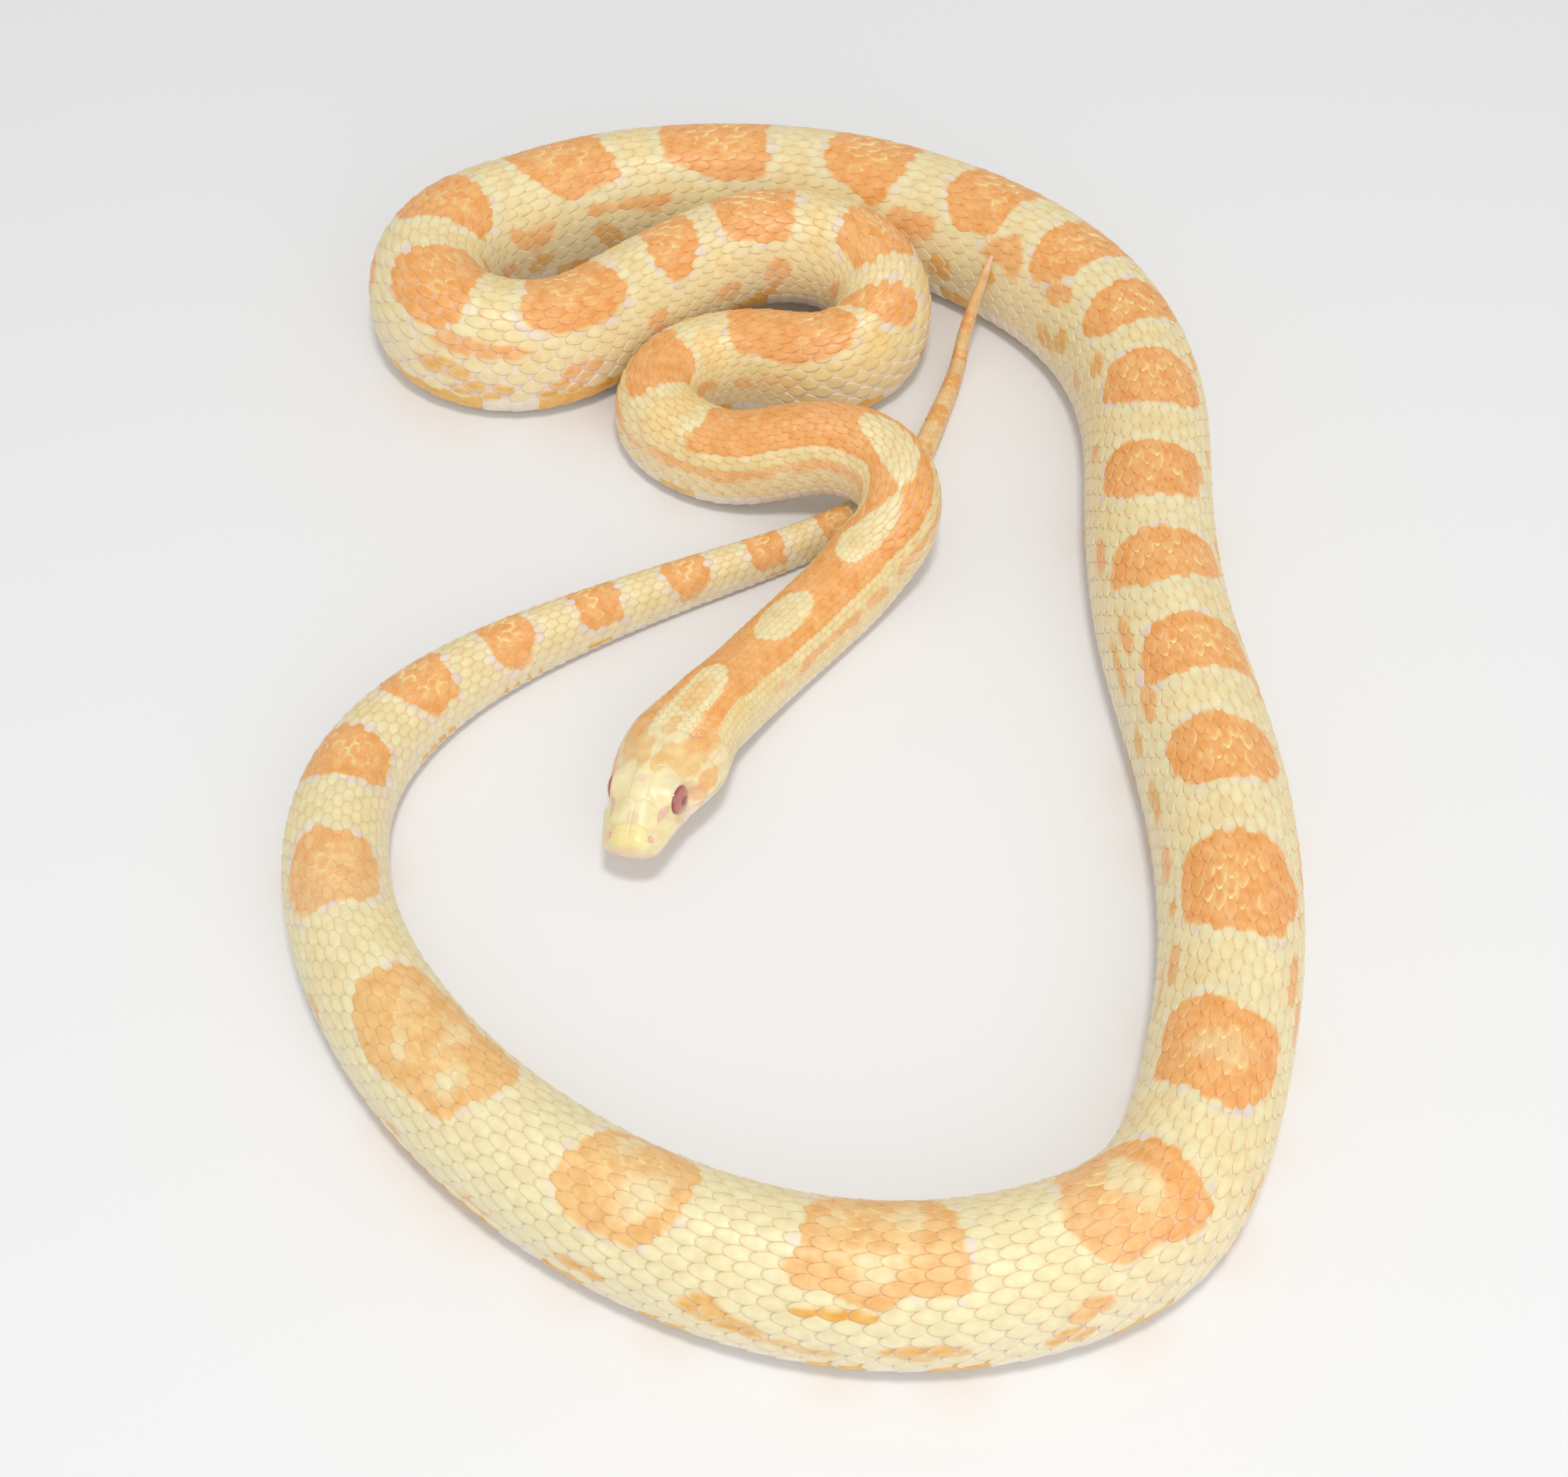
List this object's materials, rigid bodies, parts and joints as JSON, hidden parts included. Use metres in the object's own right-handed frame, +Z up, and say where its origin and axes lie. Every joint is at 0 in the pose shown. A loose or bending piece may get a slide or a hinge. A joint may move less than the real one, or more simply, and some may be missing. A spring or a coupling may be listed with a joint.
{
  "type": "corn snake",
  "caption": "Life-size corn snake lying still in loose folds and one wide loop, pale gold with orange saddles, head held just off the floor and the tail tip leaning on its side.",
  "frame": {"origin": "on the floor, under the middle of the bounding box", "axes": "+Z up from the floor; the wide loop's far side is toward +Y and the snout looks toward -Y; +X is the animal's left when it looks toward -Y"},
  "size_m": [0.203, 0.332, 0.0338],
  "materials": {
    "scales": "smooth satin scales, pale gold with orange saddles, red-pink skin between",
    "head_plates": "smooth satin plates, yellow with amber marks",
    "chin_plates": "smooth satin plates, pinkish white",
    "eye": "wet gloss, red iris and darker red round pupil"
  },
  "bodies": {
    "root": {"head": "head_plates", "lower_jaw": "chin_plates", "eye_left": "eye", "eye_right": "eye", "neck": "scales", "neck_bend": "scales", "trunk_1": "scales", "trunk_2": "scales", "trunk_3": "scales", "trunk_4": "scales", "trunk_5": "scales", "trunk_6": "scales", "trunk_7": "scales", "trunk_8": "scales", "trunk_9": "scales", "trunk_10": "scales", "trunk_11": "scales", "trunk_12": "scales", "tail_1": "scales", "tail_2": "scales", "tail_3": "scales", "tail_4": "scales"}
  },
  "joints": []
}
